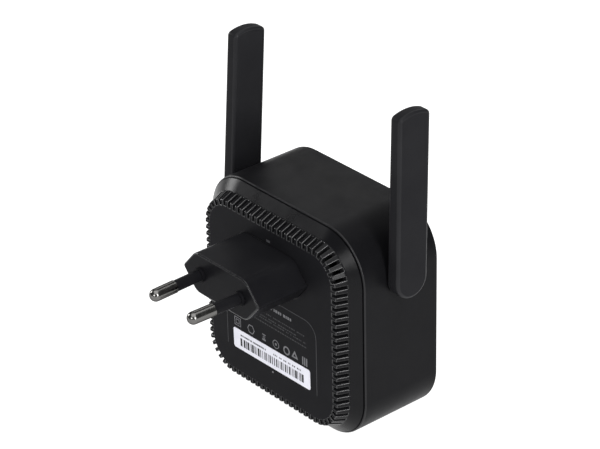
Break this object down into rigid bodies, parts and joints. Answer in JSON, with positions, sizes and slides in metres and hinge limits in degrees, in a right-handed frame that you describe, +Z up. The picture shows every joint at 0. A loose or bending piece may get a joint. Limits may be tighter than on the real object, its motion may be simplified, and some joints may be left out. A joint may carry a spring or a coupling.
{
  "type": "wifi range extender",
  "caption": "Plug-in wifi range extender: rounded square body, vented sloping rear cover, europlug with round pins, and two flat antennas that fold down at the sides.",
  "frame": {"origin": "middle of the plug's flat face, halfway between the two contact pins", "axes": "+Z up, +Y out along the plug's pins, +X to the right for someone facing the front; the front face looks along -Y"},
  "size_m": [0.0806, 0.0736, 0.1094],
  "materials": {
    "shell_black": "fine matte grain",
    "rim_black": "satin",
    "plug_black": "satin",
    "pin_nickel": "polished nickel plate",
    "spring_brass": "satin",
    "label_white": "matte",
    "board_green": "solder mask",
    "steel": "satin",
    "ferrite": "matte",
    "bobbin": "matte",
    "copper": "enamelled",
    "capacitor_sleeve": "shrink sleeve",
    "chip_black": "matte",
    "resistor_body": "matte",
    "disc_blue": "coated",
    "thermal_pad": "matte",
    "spreader_aluminium": "satin",
    "sheet_film": "film",
    "led_white": "moulded lens",
    "light_clear": "frosted clear",
    "plunger_white": "matte",
    "element_laminate": "thin laminate with its lead",
    "washer_rubber": "matte",
    "coax_grey": "matte"
  },
  "bodies": {
    "body": {"front_housing": "shell_black", "rear_cover": "rim_black", "plug_body": "plug_black", "pin_sleeve_left": "plug_black", "pin_sleeve_right": "plug_black", "pin_left": "pin_nickel", "pin_right": "pin_nickel", "pin_socket_left": "spring_brass", "pin_socket_right": "spring_brass", "board_header": "spring_brass", "coax_plug_left": "spring_brass", "coax_plug_right": "spring_brass", "serial_label": "label_white", "power_board": "board_green", "main_board": "board_green", "power_board_screws": "steel", "main_board_screws": "steel", "shield_can": "steel", "clock_crystal": "steel", "reset_switch": "steel", "transformer_core": "ferrite", "transformer_bobbin": "bobbin", "transformer_winding": "copper", "filter_choke": "copper", "input_capacitors": "capacitor_sleeve", "output_capacitor": "capacitor_sleeve", "bridge_rectifier": "chip_black", "power_chip": "chip_black", "wifi_chip": "chip_black", "memory_chip": "chip_black", "fuse_resistor": "resistor_body", "safety_capacitor": "disc_blue", "thermal_pad": "thermal_pad", "heat_spreader": "spreader_aluminium", "insulating_sheet": "sheet_film", "status_led": "led_white", "light_pipe": "light_clear", "hinge_washer_left": "washer_rubber", "hinge_washer_right": "washer_rubber", "coax_lead_left": "coax_grey", "coax_lead_right": "coax_grey"},
    "antenna_left": {"antenna_shell_left": "shell_black", "antenna_cover_left": "shell_black", "antenna_element_left": "element_laminate", "hinge_clip_left": "steel"},
    "antenna_right": {"antenna_shell_right": "shell_black", "antenna_cover_right": "shell_black", "antenna_element_right": "element_laminate", "hinge_clip_right": "steel"},
    "reset_button": {"reset_plunger": "plunger_white"}
  },
  "joints": [
    {"name": "antenna_left_hinge", "type": "hinge", "parent": "body", "child": "antenna_left", "pos_m": [-0.0356, -0.0397, 0.0037], "axis": [1, 0, 0], "range_deg": [-1.6, 178.4]},
    {"name": "antenna_right_hinge", "type": "hinge", "parent": "body", "child": "antenna_right", "pos_m": [0.0356, -0.0397, 0.0037], "axis": [1, 0, 0], "range_deg": [-3.8, 176.2]},
    {"name": "reset_press", "type": "slide", "parent": "body", "child": "reset_button", "axis": [0, 0, 1], "range_m": [0, 0.00025], "stiffness_N_per_m": 2000, "springref_m": -0.0005}
  ]
}
